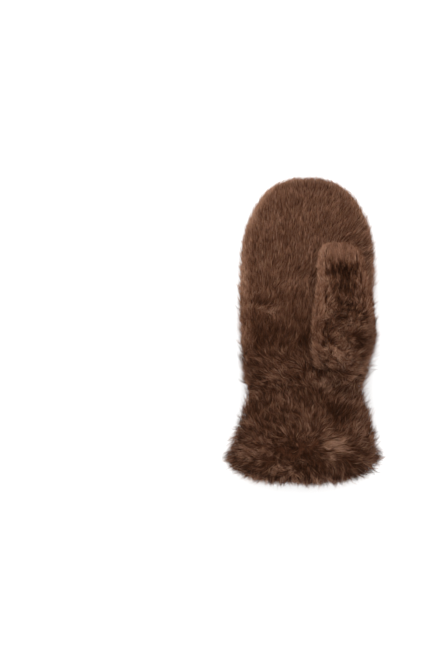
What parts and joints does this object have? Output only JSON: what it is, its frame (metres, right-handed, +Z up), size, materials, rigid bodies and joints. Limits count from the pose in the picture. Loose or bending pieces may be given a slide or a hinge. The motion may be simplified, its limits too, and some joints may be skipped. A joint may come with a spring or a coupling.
{
  "type": "fur mitten",
  "caption": "Right-hand fur mitten lying palm up, with a separate thumb, a pinched wrist and a flared fur cuff open at the hem.",
  "frame": {"origin": "under the middle of the bounding box, on the surface that the mitten lies on", "axes": "+X across the hand to the thumb side, +Y from the hem to the fingertips, +Z up, out of the palm"},
  "size_m": [0.1328, 0.2694, 0.0646],
  "materials": {
    "back_fur": "long brown pile, matt with a soft sheen",
    "palm_fur": "long brown pile, matt with a soft sheen",
    "thumb_under_fur": "long brown pile, matt with a soft sheen",
    "thumb_top_fur": "long brown pile, matt with a soft sheen",
    "cuff_fur": "long brown pile, matt, mottled with darker clumps"
  },
  "bodies": {
    "root": {"back_panel": "back_fur", "palm_panel": "palm_fur", "thumb_back": "thumb_under_fur", "thumb_front": "thumb_top_fur", "cuff": "cuff_fur"}
  },
  "joints": []
}
